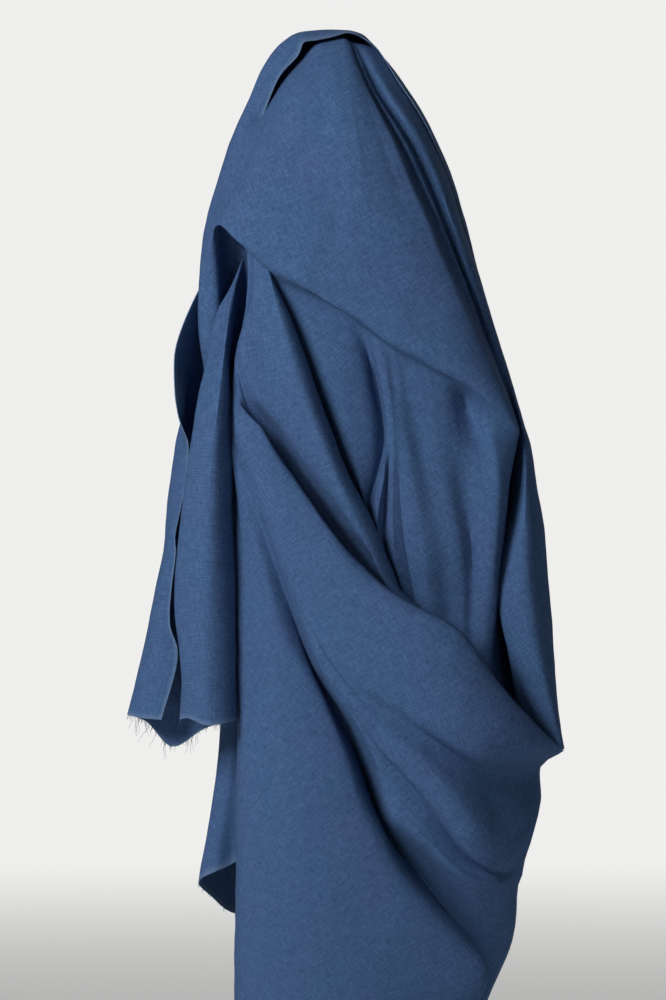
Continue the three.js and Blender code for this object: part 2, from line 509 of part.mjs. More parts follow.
const linen = new THREE.MeshStandardMaterial({ color: linenColor, roughness: 0.95, metalness: 0 });
const linenCloth = new THREE.Mesh(fromSolid(cloth), linen);
linenCloth.name = "linen_cloth";

const model = new THREE.Group();
model.add(linenCloth);
export default model;
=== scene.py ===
import bpy
import math
import random
import numpy as np
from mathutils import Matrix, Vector, noise


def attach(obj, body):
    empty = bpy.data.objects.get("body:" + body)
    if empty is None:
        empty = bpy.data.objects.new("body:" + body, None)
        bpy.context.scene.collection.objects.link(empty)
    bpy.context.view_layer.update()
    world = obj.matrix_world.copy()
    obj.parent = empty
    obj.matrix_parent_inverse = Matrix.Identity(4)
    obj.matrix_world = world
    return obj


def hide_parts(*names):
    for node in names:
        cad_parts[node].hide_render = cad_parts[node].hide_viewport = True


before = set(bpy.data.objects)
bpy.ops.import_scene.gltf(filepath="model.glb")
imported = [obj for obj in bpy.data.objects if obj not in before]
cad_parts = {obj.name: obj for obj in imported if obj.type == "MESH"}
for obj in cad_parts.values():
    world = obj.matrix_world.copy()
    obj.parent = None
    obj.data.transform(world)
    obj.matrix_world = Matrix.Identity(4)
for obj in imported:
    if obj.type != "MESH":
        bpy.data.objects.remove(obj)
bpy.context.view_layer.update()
bpy.ops.object.select_all(action="DESELECT")
scene = bpy.context.scene
mm = 0.001

# One length of linen hung by its middle. Each row below is one fold line, a ridge or a valley, in the
# order in which the folds lie side by side. A line is a run of [across, drop, depth] in millimetres:
# across is X, drop is how far below the hang point, depth is Y, so less is nearer the front.
# the hooded top, the back and the front panel, from the free edge at the right round the back.
# upper runs to the lower crease of the front panel, lower goes on to the hem.
hoodFolds = [
    {"fold": "rim",
     "upper": [(18, 1, -22), (36, 13, -20), (57, 44, -20), (97, 114, -18), (131, 214, 8),
        (180, 390, 28)],
     "lower": [(198, 514, 34), (202, 604, 32), (190, 700, 40), (160, 844, 60)]},
    {"fold": "hoodSide",
     "upper": [(14, 0, -24), (22, 0, -10), (58, 40, -2), (101, 114, 2), (132, 214, 24), (172, 390, 48)],
     "lower": [(188, 514, 54), (190, 604, 54), (180, 700, 60), (150, 849, 76)]},
    {"fold": "backRight",
     "upper": [(7, -1, -25), (8, -4, -10), (44, 22, 24), (84, 112, 48), (110, 214, 68), (134, 390, 88)],
     "lower": [(146, 560, 99), (124, 859, 94)]},
    {"fold": "backValley",
     "upper": [(-1, 1, -26), (0, -4, -10), (30, 14, 34), (62, 110, 60), (84, 214, 76), (98, 390, 86)],
     "lower": [(104, 560, 90), (86, 869, 90)]},
    {"fold": "backMid",
     "upper": [(-9, 3, -27), (-8, -4, -10), (14, 8, 42), (34, 108, 80), (48, 214, 98), (56, 390, 112)],
     "lower": [(58, 560, 116), (46, 879, 112)]},
    {"fold": "backHollow",
     "upper": [(-24, 6, -27), (-25, -3, -12), (-16, 6, 40), (-4, 106, 78), (-2, 214, 90), (1, 360, 95)],
     "lower": [(4, 560, 98), (0, 884, 98)]},
    {"fold": "backLeft",
     "upper": [(-36, 8, -27), (-43, 0, -14), (-46, 8, 28), (-46, 104, 72), (-50, 200, 96),
        (-48, 320, 106)],
     "lower": [(-40, 560, 112), (-44, 884, 106)]},
    {"fold": "leftBack",
     "upper": [(-41, 20, -27), (-60, 12, -16), (-71, 30, 10), (-90, 110, 44), (-103, 190, 66),
        (-107, 270, 74)],
     "lower": [(-105, 520, 84), (-102, 886, 70)]},
    {"fold": "leftSide",
     "upper": [(-60, 42, -26), (-75, 36, -14), (-88, 58, 0), (-107, 104, 12), (-126, 185, 26),
        (-129, 230, 32)],
     "lower": [(-124, 400, 62), (-118, 600, 60), (-128, 865, 26)]},
    {"fold": "roll",
     "upper": [(-78, 85, -22), (-93, 87, -20), (-109, 118, -18), (-129, 170, -14), (-137, 204, -10)],
     "lower": [(-141, 262, -4), (-136, 330, 8), (-120, 430, 46), (-114, 560, 46), (-116, 690, 34),
        (-141, 846, 0)]},
    {"fold": "rollFront",
     "upper": [(-77, 80, -22), (-84, 100, -34), (-102, 140, -42), (-119, 176, -48), (-128, 198, -44)],
     "lower": [(-124, 240, -22), (-122, 310, -4), (-110, 430, 38), (-108, 690, 22), (-126, 836, -12)]},
    {"fold": "arch",
     "upper": [(-74, 68, -10), (-70, 76, -30), (-76, 100, -44), (-88, 134, -60), (-107, 172, -68),
        (-119, 190, -62)],
     "lower": [(-116, 184, -34), (-112, 202, -4), (-102, 300, 26), (-98, 500, 30), (-98, 690, 18),
        (-108, 828, -5)]},
    {"fold": "archRight",
     "upper": [(-60, 46, -4), (-54, 50, -30), (-56, 74, -48), (-64, 124, -70), (-83, 178, -82),
        (-100, 206, -78)],
     "lower": [(-95, 193, -44), (-88, 212, -16), (-76, 320, 6), (-72, 690, 0), (-75, 804, -10)]},
    {"fold": "crease",
     "upper": [(-42, 22, 0), (-36, 28, -26), (-38, 56, -54), (-38, 119, -76), (-54, 188, -92),
        (-76, 226, -86)],
     "lower": [(-71, 238, -70), (-56, 271, -62), (-40, 313, -56), (-22, 364, -52), (1, 426, -50),
        (29, 483, -50), (60, 560, -50), (100, 650, -40)]},
    {"fold": "panel",
     "upper": [(-24, 8, 0), (-21, 12, -23), (-22, 49, -54), (-15, 119, -82), (-24, 198, -98),
        (-44, 244, -98)],
     "lower": [(-40, 255, -83), (-21, 314, -78), (0, 378, -74), (16, 430, -70), (28, 476, -62),
        (48, 530, -52), (102, 652, -40)]},
    {"fold": "planeB",
     "upper": [(-17, 6, -1), (-14, 9, -22), (-14, 46, -55), (-5, 119, -84), (-6, 222, -100),
        (-14, 264, -101)],
     "lower": [(0, 272, -86), (17, 316, -77), (28, 366, -72), (31, 420, -67), (25, 466, -62),
        (34, 506, -54), (52, 556, -46), (103, 654, -38)]},
    {"fold": "pleatA",
     "upper": [(-10, 5, -2), (-7, 7, -21.2), (-5, 44, -56), (7, 119, -86), (14, 236, -102),
        (20, 284, -102)],
     "lower": [(25, 294, -84), (31, 324, -66), (39, 362, -58), (44, 402, -56), (38, 434, -58),
        (29, 468, -56), (33, 498, -48), (46, 530, -44), (62, 574, -42), (104, 656, -36)]},
    {"fold": "foldB",
     "upper": [(-8, 5, -2), (-5, 6.7, -21.1), (-2, 44, -56.1), (10, 119, -86), (19, 239, -102),
        (27, 290, -102)],
     "lower": [(31, 298, -90), (36, 326, -85), (43, 362, -84), (47, 402, -81), (44, 436, -76),
        (38, 470, -76), (38, 498, -70), (47, 528, -60), (63, 574, -48), (104, 657, -37)]},
    {"fold": "valleyB",
     "upper": [(-7, 4, -2), (-3.4, 6.4, -21), (0.5, 44, -56.1), (13, 119, -86), (24, 241, -102),
        (32, 294, -102)],
     "lower": [(36, 302, -91), (40, 328, -87), (45, 364, -85), (49, 404, -82), (47, 436, -70),
        (45, 470, -64), (44, 505, -58), (50, 538, -50), (65, 580, -44), (105, 658, -37)]},
    {"fold": "ridgeB",
     "upper": [(-5, 4, -2), (-1.8, 6.1, -20.9), (3, 44, -56), (16, 119, -86), (30, 244, -102),
        (40, 300, -102)],
     "lower": [(43, 307, -90), (46, 332, -87), (50, 366, -86), (53, 404, -84), (53, 436, -80),
        (52, 470, -76), (53, 505, -72), (59, 540, -62), (71, 584, -50), (106, 659, -37)]},
    {"fold": "valleyD",
     "upper": [(-4, 4, -2), (-0.2, 5.8, -20.7), (5.4, 43.8, -55.8), (19, 119, -86), (35, 246, -102),
        (46, 304, -102)],
     "lower": [(48, 311, -89), (51, 336, -84), (54, 368, -84), (57, 404, -83), (58, 436, -78),
        (60, 470, -73), (64, 505, -66), (71, 542, -56), (79, 590, -46), (107, 660, -37)]},
    {"fold": "ridgeD",
     "upper": [(-3, 4, -2), (1.2, 5.6, -20.5), (7.8, 43.6, -55.5), (22, 119, -85), (41, 248, -102),
        (53, 308, -102)],
     "lower": [(54, 316, -88), (57, 340, -84), (61, 372, -83), (65, 406, -83), (69, 440, -82),
        (74, 474, -80), (79, 508, -76), (86, 546, -68), (93, 594, -52), (110, 661, -37)]},
    {"fold": "pleatB",
     "upper": [(-2, 4, -2), (2.4, 5.4, -20.3), (10, 43.5, -55), (26, 119, -84), (49, 251, -102),
        (63, 313, -102)],
     "lower": [(63, 322, -86), (66, 346, -81), (71, 378, -78), (78, 412, -76), (87, 446, -74),
        (95, 482, -71), (101, 512, -67), (105, 548, -59), (109, 596, -46), (114, 662, -34)]},
    {"fold": "ridgeF",
     "upper": [(-1, 4, -2), (3.6, 5.3, -20), (12.4, 43.4, -54.3), (30, 119, -83), (61, 255, -101),
        (78, 320, -101)],
     "lower": [(80, 330, -86), (84, 352, -80), (90, 382, -78), (98, 414, -76), (106, 450, -74),
        (114, 486, -70), (119, 516, -66), (121, 552, -58), (121, 600, -48), (120, 663, -36)]},
    {"fold": "softB",
     "upper": [(1, 4, -2), (5, 5.4, -19.6), (15.2, 43.4, -53.2), (37, 119, -81), (78, 260, -99),
        (98, 332, -99)],
     "lower": [(102, 342, -82), (107, 370, -74), (115, 410, -70), (123, 450, -63), (128, 490, -58),
        (131, 530, -54), (129, 600, -46), (126, 664, -37)]},
    {"fold": "hollowB",
     "upper": [(3, 4, -2), (6.6, 5.7, -18.9), (18, 43.8, -51.8), (44, 119, -78), (94, 262, -95),
        (120, 342, -95)],
     "lower": [(122, 356, -62), (128, 384, -56), (136, 420, -66), (142, 470, -68), (145, 520, -64),
        (142, 600, -50), (133, 664, -36)]},
    {"fold": "sideB",
     "upper": [(4, 4, -2), (8, 6.2, -18), (20.6, 44.6, -50.2), (51, 119, -76), (108, 260, -89),
        (150, 362, -84)],
     "lower": [(149, 384, -72), (152, 410, -72), (156, 440, -72), (156, 480, -70), (154, 520, -64),
        (150, 580, -52), (139, 664, -37)]},
    {"fold": "ridgeRight",
     "upper": [(5, 5, -2), (9, 7, -17), (23, 46, -48), (58, 119, -72), (116, 254, -80), (176, 391, -62)],
     "lower": [(175, 401, -56), (169, 428, -58), (164, 469, -58), (160, 507, -54), (154, 572, -48),
        (144, 664, -36)]},
    {"fold": "dipRight",
     "upper": [(6, 6, -1), (11, 8, -16), (27, 50, -38), (63, 118, -50), (112, 228, -52),
        (176, 390, -44)],
     "lower": [(175, 402, -42), (169, 440, -40), (164, 500, -34), (158, 560, -26), (150, 668, -26)]},
    {"fold": "ridgeLow",
     "upper": [(7, 6, 0), (13, 9, -15), (31, 52, -40), (69, 118, -54), (113, 220, -52), (175, 389, -34)],
     "lower": [(175, 402, -28), (169, 444, -24), (164, 500, -18), (160, 560, -10), (162, 674, -14)]},
    {"fold": "gapRight",
     "upper": [(9, 7, 0), (15, 10, -15), (38, 58, -32), (74, 118, -38), (112, 212, -40),
        (173, 388, -22)],
     "lower": [(175, 402, -10), (168, 460, -2), (163, 560, 8), (166, 630, 10), (180, 690, -6)]},
    {"fold": "stripLeft",
     "upper": [(14, 8, 2), (22, 11, -13), (44, 54, -37), (81, 116, -48), (119, 212, -50),
        (177, 390, -26)],
     "lower": [(179, 412, -26), (177, 444, -30), (172, 474, -34), (162, 512, -38), (157, 554, -42),
        (168, 604, -48), (190, 660, -52), (219, 710, -46)]},
    {"fold": "stripMid",
     "upper": [(19, 8, 4), (31, 13, -10), (54, 54, -28), (91, 117, -34), (127, 214, -36),
        (181, 391, -36)],
     "lower": [(184, 412, -44), (184, 460, -52), (183, 510, -58), (186, 560, -62), (194, 610, -62),
        (208, 664, -58), (221, 711, -46)]},
    {"fold": "sideRight",
     "upper": [(24, 9, 6), (38, 16, -6), (64, 56, -14), (98, 120, -12), (129, 215, -6), (184, 391, -4)],
     "lower": [(191, 420, -4), (200, 470, -6), (205, 510, -8), (210, 560, -10), (212, 610, -14),
        (216, 664, -24), (223, 710, -44)]},
    {"fold": "sideBack",
     "upper": [(20, 18, 10), (32, 30, 8), (50, 64, 12), (84, 124, 20), (116, 220, 28), (170, 394, 34)],
     "lower": [(178, 424, 34), (190, 510, 32), (194, 560, 30), (196, 610, 22), (206, 668, -2),
        (218, 707, -30)]},
    {"fold": "sideEnd",
     "upper": [(14, 26, 14), (22, 38, 20), (36, 70, 32), (60, 130, 44), (84, 224, 56), (124, 396, 72)],
     "lower": [(128, 430, 76), (136, 520, 80), (138, 610, 72), (150, 660, 48), (160, 700, 20)]},
]

# the slung swag and the long front fall, from the pleat beside the panel to the fall's left edge
swagFolds = [
    {"fold": "tuck",
     "run": [(-78, 212, -48), (-56, 271, -56), (-40, 313, -50), (-22, 364, -46), (1, 426, -44),
        (29, 483, -40), (60, 560, -36), (100, 648, -26)]},
    {"fold": "edgeK",
     "run": [(-76, 212, -64), (-71, 234, -76), (-54, 271, -86), (-38, 313, -86), (-20, 364, -85),
        (3, 426, -84), (31, 483, -80), (60, 556, -70), (100, 646, -50)]},
    {"fold": "ridgeK",
     "run": [(-78, 208, -66), (-64, 262, -94), (-47, 322, -101), (-24, 388, -104), (5, 458, -102),
        (38, 530, -88), (85, 624, -60)]},
    {"fold": "slopeK",
     "run": [(-82, 204, -58), (-76, 262, -74), (-68, 330, -86), (-48, 376, -93), (-22, 424, -97),
        (5, 474, -96), (34, 520, -87), (66, 562, -74), (106, 610, -54)]},
    {"fold": "ridgeL",
     "run": [(-84, 202, -54), (-85, 262, -70), (-94, 314, -78), (-84, 350, -83), (-65, 379, -85),
        (-42, 412, -85), (-15, 453, -84), (10, 490, -81), (35, 522, -77), (66, 558, -70),
        (108, 602, -55)]},
    {"fold": "hollowC",
     "run": [(-85, 199, -50), (-87, 262, -56), (-101, 320, -68), (-92, 356, -72), (-71, 388, -62),
        (-49, 422, -56), (-24, 459, -54), (2, 495, -56), (27, 526, -61), (63, 561, -66),
        (111, 600, -54), (136, 634, -46)]},
    {"fold": "valleyC",
     "run": [(-86, 196, -48), (-88, 262, -50), (-103, 326, -64), (-97, 364, -72), (-77, 398, -62),
        (-55, 436, -56), (-31, 470, -58), (-7, 502, -62), (18, 530, -64), (60, 566, -66),
        (113, 596, -56), (148, 642, -42), (204, 706, -30)]},
    {"fold": "lipC",
     "run": [(-87, 194, -46), (-89, 262, -47), (-103, 335, -54), (-99, 368, -76), (-76, 393, -83),
        (-53, 430, -92), (-29, 464, -100), (-5, 496, -106), (20, 524, -110), (62, 559, -112),
        (115, 587, -108), (150, 636, -86), (212, 706, -46)]},
    {"fold": "ridgeC",
     "run": [(-86, 193, -45), (-87, 262, -47), (-102, 340, -60), (-100, 372, -74), (-77, 394, -88),
        (-54, 440, -98), (-30, 470, -106), (-7, 500, -114), (16, 530, -120), (60, 560, -126),
        (114, 590, -122), (148, 632, -106), (186, 678, -84), (220, 710, -48)]},
    {"fold": "midC",
     "run": [(-87, 192, -44), (-89, 262, -47), (-103, 343, -62), (-101, 396, -80), (-72, 455, -98),
        (-42, 505, -110), (-10, 548, -120), (36, 590, -130), (86, 626, -134), (128, 660, -128),
        (170, 694, -106), (221, 711, -46)]},
    {"fold": "lowC",
     "run": [(-87, 192, -44), (-89, 262, -46), (-104, 344, -62), (-98, 408, -82), (-80, 445, -93),
        (-57, 500, -105), (-37, 556, -113), (-14, 600, -119), (20, 636, -125), (52, 658, -128),
        (82, 678, -130), (104, 694, -128), (124, 706, -122), (140, 713, -114), (162, 713, -98),
        (198, 714, -64), (222, 712, -45)]},
    {"fold": "valleyG",
     "run": [(-88, 192, -43), (-89, 262, -46), (-104.1, 344.5, -61.5), (-98.5, 409, -81.3),
        (-80.8, 447, -92.1), (-57.6, 503, -104.7), (-37.4, 559.5, -112.6), (-15, 608, -114),
        (16, 645, -117), (48, 668, -118), (80, 688, -114), (104, 704, -106), (128, 722, -92),
        (150, 734, -70), (172, 738, -44), (200, 730, -8)]},
    {"fold": "ridgeG",
     "run": [(-88, 191, -42), (-89, 262, -46), (-104.3, 345, -61), (-99, 410, -80.4),
        (-81.5, 449, -90.9), (-58.3, 505.5, -103.8), (-37.8, 563, -111.2), (-18, 613, -113),
        (11, 653, -117), (36, 682, -120), (64, 706, -122), (92, 732, -120), (116, 762, -114),
        (138, 790, -102), (162, 800, -76), (186, 790, -42), (200, 765, -6)]},
    {"fold": "edgeG",
     "run": [(-88, 191, -42), (-89, 262, -45), (-104.4, 345.5, -60.5), (-99.5, 411, -79.2),
        (-82.3, 451, -89.4), (-59.1, 508, -102.1), (-38.3, 566.5, -108.5), (-20, 617, -111),
        (5, 656, -112), (27, 684, -113), (40, 706, -113), (62, 730, -112), (84, 754, -110),
        (104, 778, -106), (124, 806, -98), (146, 824, -84), (168, 826, -56), (189, 806, -22)]},
    {"fold": "valleyH",
     "run": [(-89, 191, -41), (-89, 262, -45), (-104.5, 346, -60), (-100, 412.5, -77.9),
        (-83, 453.5, -87.7), (-60, 511, -99.6), (-39, 570, -104.5), (-21, 620, -107), (3, 659, -105),
        (24, 688, -103), (42, 712, -101), (62, 733, -98), (82, 756, -94), (102, 785, -88),
        (122, 812, -82), (144, 829, -72), (168, 833, -48), (184, 822, -22)]},
    {"fold": "ridgeH",
     "run": [(-89, 190, -41), (-90, 262, -45), (-104.6, 346.5, -59.4), (-100.5, 413.6, -76.6),
        (-83.8, 455.6, -85.9), (-61, 514, -96.1), (-39.8, 573.5, -99.1), (-21, 622, -103),
        (2, 661, -101), (21, 690, -100), (36, 721, -99), (50, 750, -99), (66, 778, -99),
        (90, 800, -98), (112, 822, -95), (134, 837, -86), (158, 842, -66), (182, 838, -22)]},
    {"fold": "lowH",
     "run": [(-90, 190, -40), (-90, 262, -45), (-104.8, 347, -58.7), (-101, 414.8, -75.1),
        (-84.5, 457.8, -84.1), (-62, 516.5, -91.7), (-41, 577, -92.3), (-21, 622, -98), (2, 660, -95),
        (20, 687, -92), (32, 714, -90), (40, 744, -90), (49, 770, -91), (64, 787, -91), (85, 805, -90),
        (108, 828, -87), (134, 846, -76), (160, 849, -56), (178, 848, -22)]},
    {"fold": "underH",
     "run": [(-90, 190, -40), (-90, 262, -44), (-104.9, 347.5, -57.9), (-101.5, 416, -73.6),
        (-85.3, 460, -82.1), (-63, 519, -86.4), (-42.4, 580.5, -83.9), (-23, 625, -86), (-1, 664, -78),
        (16, 692, -72), (28, 720, -68), (38, 752, -65), (48, 780, -64), (66, 802, -62), (90, 828, -58),
        (116, 860, -48), (142, 888, -34), (163, 902, -14), (173, 905, 6)]},
    {"fold": "valleyE",
     "run": [(-90, 189, -39), (-90, 262, -44), (-105, 348, -57), (-102, 417, -72), (-86, 462, -80),
        (-64, 522, -80), (-44, 584, -74), (-28, 630, -66), (-5, 668, -56), (10, 698, -48),
        (22, 730, -42), (32, 768, -38), (50, 800, -36), (76, 832, -34), (104, 868, -28),
        (130, 900, -18), (149, 926, -4), (161, 936, 7)]},
    {"fold": "ridgeE",
     "run": [(-91, 189, -38), (-91, 262, -43), (-105, 348, -56), (-103, 424, -71), (-94, 472, -79),
        (-76, 532, -83), (-58, 594, -87), (-33, 636, -88), (-10, 680, -90), (6, 722, -92),
        (21, 764, -92), (42, 806, -91), (66, 842, -88), (96, 876, -80), (124, 906, -68),
        (146, 934, -54), (136, 968, -46), (108, 1030, -38)]},
    {"fold": "eastE",
     "run": [(-91, 189, -37), (-91, 262, -42), (-106, 349, -55), (-105, 440, -68), (-84, 560, -77),
        (-58, 670, -88), (-22, 780, -96), (16, 870, -97), (42, 960, -90), (56, 1040, -82)]},
    {"fold": "midE",
     "run": [(-91, 188, -36), (-91, 262, -42), (-106, 350, -54), (-103, 450, -64), (-90, 584, -72),
        (-72, 704, -84), (-50, 814, -94), (-32, 914, -94), (-22, 1048, -88)]},
    {"fold": "westE",
     "run": [(-92, 188, -34), (-92, 262, -41), (-106, 350, -52), (-104, 450, -58), (-100, 584, -62),
        (-95, 704, -70), (-90, 814, -76), (-86, 914, -74), (-84, 1054, -68)]},
    {"fold": "leftE",
     "run": [(-92, 188, -32), (-92, 262, -38), (-106, 350, -46), (-106, 450, -48), (-105, 584, -50),
        (-102, 704, -46), (-103, 814, -42), (-104, 914, -36), (-105, 1052, -28)]},
    {"fold": "backE",
     "run": [(-90, 190, -26), (-88, 262, -28), (-101, 350, -30), (-100, 450, -30), (-99, 584, -30),
        (-95, 704, -24), (-96, 814, -10), (-97, 914, 0), (-98, 1050, 8)]},
]

# the short tail at the left, from its selvedge round the back to its folded front strip
tailFolds = [
    {"fold": "selvedge",
     "run": [(-124, 226, 26), (-144, 260, 6), (-157, 290, -6), (-164, 318, -12), (-163, 368, -18),
        (-158, 390, -28), (-151, 408, -40), (-154, 452, -46), (-164, 498, -46), (-163, 514, -46),
        (-169, 584, -50), (-161, 614, -50), (-177, 681, -50)]},
    {"fold": "nearEdge",
     "run": [(-122, 228, 32), (-135, 264, 22), (-149, 309, 12), (-153, 349, 4), (-155, 389, -12),
        (-159, 424, -32), (-164, 474, -40), (-172, 519, -40), (-180, 589, -42), (-182, 634, -44),
        (-195, 680, -42)]},
    {"fold": "outline",
     "run": [(-118, 230, 40), (-130, 270, 36), (-144, 330, 26), (-160, 389, 8), (-168, 429, -4),
        (-176, 509, -12), (-185, 563, -14), (-194, 604, -16), (-212, 678, -18)]},
    {"fold": "behindLeft",
     "run": [(-112, 300, 56), (-138, 384, 38), (-154, 464, 18), (-166, 564, 8), (-180, 634, 4),
        (-194, 686, 2)]},
    {"fold": "behind",
     "run": [(-118, 384, 50), (-126, 414, 30), (-136, 484, 14), (-146, 584, 4), (-156, 654, 0),
        (-168, 711, 0)]},
    {"fold": "behindRight",
     "run": [(-100, 384, 44), (-106, 414, 10), (-116, 488, -10), (-120, 584, -16), (-126, 654, -18),
        (-136, 692, -16)]},
    {"fold": "ridgeRight",
     "run": [(-96, 222, -12), (-103, 262, -24), (-107, 300, -33), (-108, 346, -40), (-104, 383, -42),
        (-105, 450, -46), (-105, 509, -52), (-103, 600, -58), (-104, 681, -60)]},
    {"fold": "innerRight",
     "run": [(-97, 223, -12), (-105, 264, -32), (-109, 302, -50), (-111, 364, -66), (-112, 434, -76),
        (-112, 509, -78), (-113, 564, -82), (-113, 682, -84)]},
    {"fold": "ridgeTail",
     "run": [(-98, 224, -12), (-108, 266, -38), (-113, 304, -62), (-117, 340, -78), (-122, 384, -89),
        (-126, 434, -95), (-128, 504, -95), (-131, 584, -93), (-131, 684, -91)]},
    {"fold": "slopeLeft",
     "run": [(-99, 226, -10), (-109, 262, -28), (-119, 300, -46), (-128, 340, -62), (-141, 396, -72),
        (-150, 460, -74), (-155, 528, -74), (-157, 610, -72), (-151, 678, -70)]},
    {"fold": "turnLeft",
     "run": [(-100, 228, -8), (-111, 256, -16), (-121, 274, -24), (-126, 292, -32), (-133, 328, -44),
        (-142, 372, -52), (-152, 433, -56), (-160, 502, -58), (-164, 570, -58), (-157, 625, -58),
        (-159, 680, -58)]},
    {"fold": "innerLeft",
     "run": [(-99, 230, -4), (-109, 264, -4), (-121, 306, -14), (-132, 370, -26), (-144, 450, -34),
        (-152, 530, -38), (-155, 634, -40), (-157, 680, -40)]},
]

cloth = {
    "thickness": 0.9 * mm,       # two woven faces and the nap between them
    "frontStep": 5.2 * mm,       # columns on the folds that face the front
    "backStep": 10.0 * mm,       # and on the plain back
    "hoodRows": (52, 78),        # above and below the panel's lower crease
    "swagRows": 150,
    "tailRows": 84,
    "backDepth": 24.0,           # mm, from here back the columns may be wide apart
    "crumple": 1.6 * mm,         # the soft unevenness of washed linen
    "crumpleSize": 0.055,
    "fineCrumple": 0.42 * mm,
    "fineSize": 0.016,
    "flat": (1.30, 0.92),        # the length as it was cut
}


def knotTimes(points, least=0.0003):
    gaps = np.linalg.norm(np.diff(points, axis=0), axis=1)
    return np.concatenate([[0.0], np.cumsum(np.sqrt(np.maximum(gaps, least)))])


def knotSlopes(points, times):
    # slope at each knot, weighted by how near its neighbours are
    slope = np.diff(points, axis=0) / np.diff(times)[:, None]
    weight = ((times[1:-1] - times[:-2]) / (times[2:] - times[:-2]))[:, None]
    inner = slope[:-1] * (1 - weight) + slope[1:] * weight
    return np.concatenate([slope[:1], inner, slope[-1:]])


def curveAt(points, times, slopes, when):
    k = np.clip(np.searchsorted(times, when, side="right") - 1, 0, len(points) - 2)
    span = (times[k + 1] - times[k])[:, None]
    u = ((when - times[k])[:, None]) / span
    blendB = 3 * u ** 2 - 2 * u ** 3
    ends = points[k] * (1 - blendB) + points[k + 1] * blendB
    return ends + ((u ** 3 - 2 * u ** 2 + u) * slopes[k] + (u ** 3 - u ** 2) * slopes[k + 1]) * span


def evenRun(points, first, last, rows):
    # rows + 1 points at equal steps of length between two stations
    times = knotTimes(points)
    slopes = knotSlopes(points, times)
    fine = np.linspace(times[first], times[last], 400)
    along = curveAt(points, times, slopes, fine)
    length = np.concatenate([[0.0], np.cumsum(np.linalg.norm(np.diff(along, axis=0), axis=1))])
    return curveAt(points, times, slopes, np.interp(np.linspace(0, length[-1], rows + 1), length, fine))


def stationPoints(run):
    across, drop, depth = np.array(run, float).T * mm
    return np.stack([across, depth, -drop], axis=1)


def foldColumn(fold, rows):
    if "run" in fold:
        points = stationPoints(fold["run"])
        return evenRun(points, 0, len(points) - 1, rows)
    points = stationPoints(fold["upper"] + fold["lower"])
    ridge = len(fold["upper"]) - 1
    above = evenRun(points, 0, ridge, rows[0])
    return np.concatenate([above, evenRun(points, ridge, len(points) - 1, rows[1])[1:]])


def sheetGrid(folds, rows):
    # grid[row, column] of points on the middle of the cloth
    lines = np.array([foldColumn(fold, rows) for fold in folds])
    counts = []
    for left, right in zip(lines[:-1], lines[1:]):
        isBack = min(left[:, 1].mean(), right[:, 1].mean()) > cloth["backDepth"] * mm
        step = cloth["backStep"] if isBack else cloth["frontStep"]
        counts.append(max(2, math.ceil(np.linalg.norm(right - left, axis=1).mean() / step)))
    grid = []
    for row in range(lines.shape[1]):
        points = lines[:, row]
        times = knotTimes(points)
        slopes = knotSlopes(points, times)
        when = np.concatenate([np.linspace(times[i], times[i + 1], count, endpoint=False)
                               for i, count in enumerate(counts)] + [times[-1:]])
        grid.append(curveAt(points, times, slopes, when))
    return np.array(grid)


def gridNormals(grid):
    acrossSheet = np.gradient(grid, axis=1)
    downSheet = np.gradient(grid, axis=0)
    normal = np.cross(acrossSheet, downSheet)
    return normal / np.maximum(np.linalg.norm(normal, axis=2, keepdims=True), 1e-9)


# main creases, each a soft ridge or a trough along a path of (across, drop) in mm,
# with its half width and its height, above or below the surface
creases = [
    {"name": "panelFaint", "sheet": "hood", "path": [(-66, 214), (-48, 222), (-28, 230), (-6, 252)],
     "width": 5, "height": -1.6},
    {"name": "panelRidge", "sheet": "hood", "path": [(-60, 226), (-40, 238), (-10, 262), (20, 284)],
     "width": 8, "height": 2.0},
    {"name": "panelSide", "sheet": "hood", "path": [(60, 80), (84, 130), (106, 182), (116, 220)],
     "width": 4, "height": -2.2},
    {"name": "fallSoft", "sheet": "swag", "path": [(-70, 560), (-50, 660), (-20, 760), (10, 860)],
     "width": 26, "height": 2.4},
    {"name": "fallHollow", "sheet": "swag", "path": [(-92, 640), (-80, 760), (-64, 880), (-58, 1000)],
     "width": 18, "height": -2.2},
    {"name": "tailPinch", "sheet": "tail", "path": [(-138, 521), (-122, 522), (-108, 523)],
     "width": 3, "height": -3.0},
    {"name": "tailPinchLip", "sheet": "tail", "path": [(-136, 515), (-122, 516), (-110, 517)],
     "width": 4, "height": 2.0},
]


def pathDistance(points, path):
    # nearest distance in the front view to a path, and how far along it that is, from 0 to 1
    best = np.full(points.shape[:-1], 1e9)
    place = np.zeros(points.shape[:-1])
    path = np.array(path, float) * mm
    steps = len(path) - 1
    flat = np.stack([points[..., 0], -points[..., 2]], axis=-1)
    for k in range(steps):
        run = path[k + 1] - path[k]
        part = np.clip(((flat - path[k]) @ run) / (run @ run), 0, 1)
        gap = np.linalg.norm(flat - (path[k] + part[..., None] * run), axis=-1)
        nearer = gap < best
        best = np.where(nearer, gap, best)
        place = np.where(nearer, (k + part) / steps, place)
    return best, place


def addCreases(name, grid, outward):
    normals = gridNormals(grid) * outward
    facing = np.clip(-normals[..., 1] * 2.5, 0, 1)
    push = np.zeros(grid.shape[:2])
    for crease in creases:
        if crease["sheet"] != name:
            continue
        gap, place = pathDistance(grid, crease["path"])
        ends = np.sin(np.pi * np.clip(place, 0, 1)) ** 0.6
        push += crease["height"] * mm * np.exp(-(gap / (crease["width"] * mm)) ** 2) * ends * facing
    return grid + normals * push[..., None]


